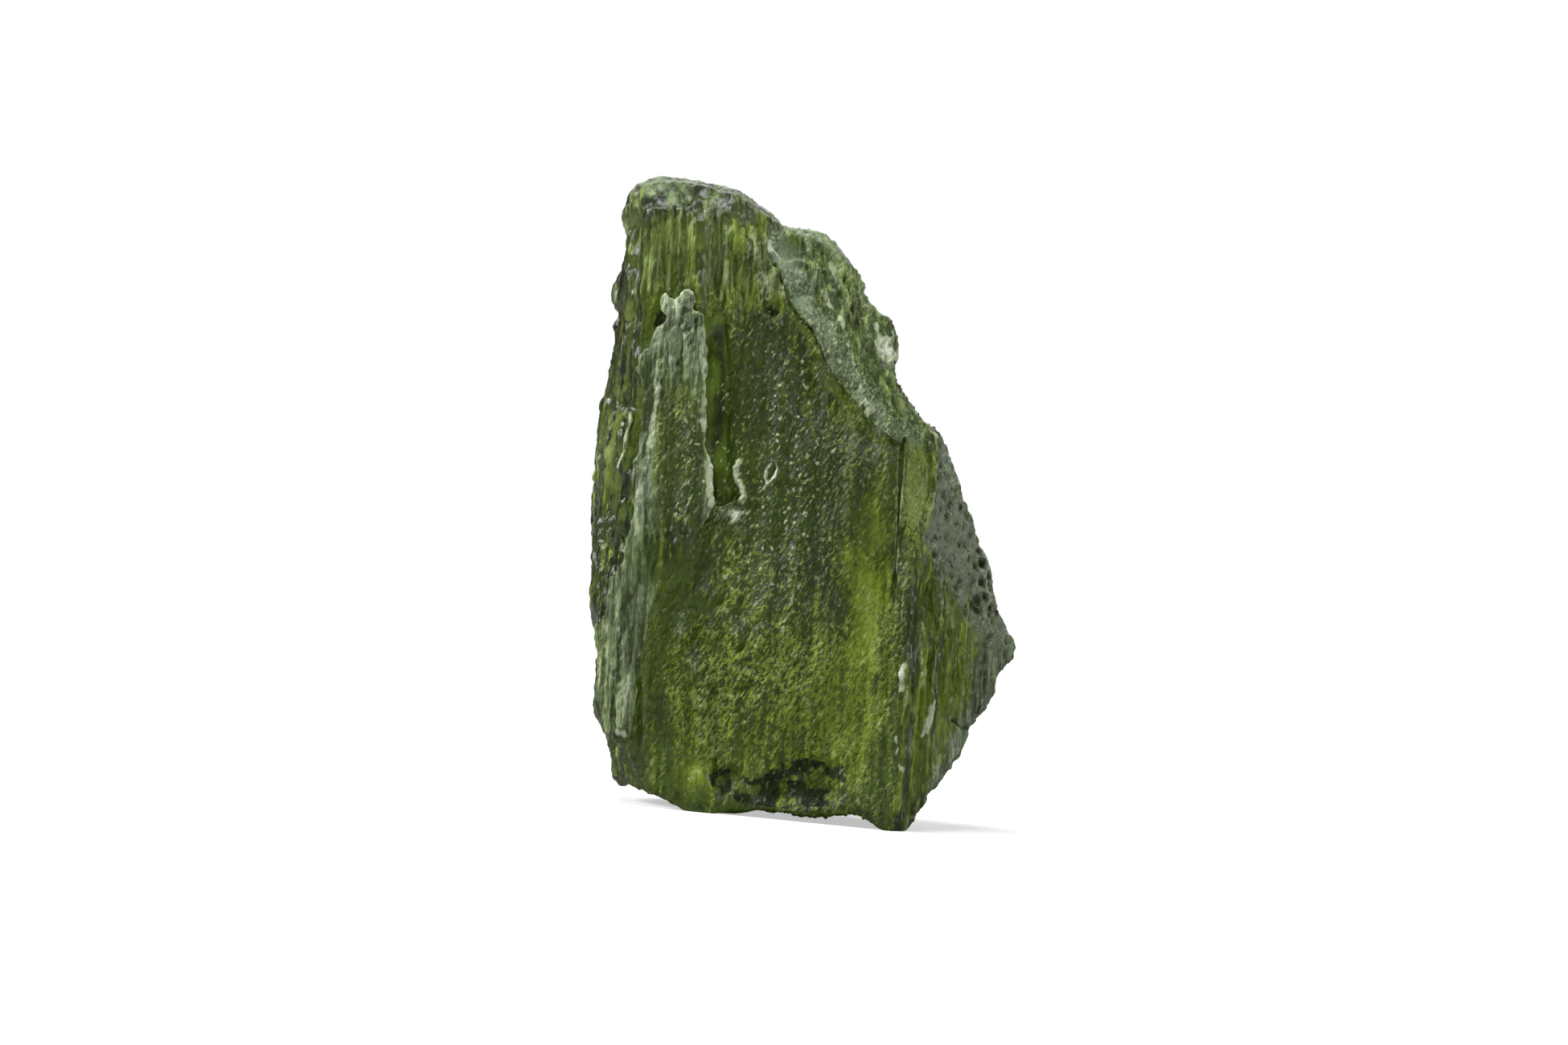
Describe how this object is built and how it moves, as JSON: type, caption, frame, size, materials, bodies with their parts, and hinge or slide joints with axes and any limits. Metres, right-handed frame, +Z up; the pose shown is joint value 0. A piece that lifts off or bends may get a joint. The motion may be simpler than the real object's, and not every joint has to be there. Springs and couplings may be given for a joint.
{
  "type": "moldavite",
  "caption": "Rough upright splinter of green natural glass, fluted down its front and pitted behind, resting on two small worn flats.",
  "frame": {"origin": "middle of the stone's box at the level of the two worn flats it rests on", "axes": "+Z up as it rests, +X to the right seen from the front, -Y out of the broad fluted front face"},
  "size_m": [0.0176, 0.0086, 0.0248],
  "materials": {
    "green_glass": "satin"
  },
  "bodies": {
    "root": {"moldavite": "green_glass"}
  },
  "joints": []
}
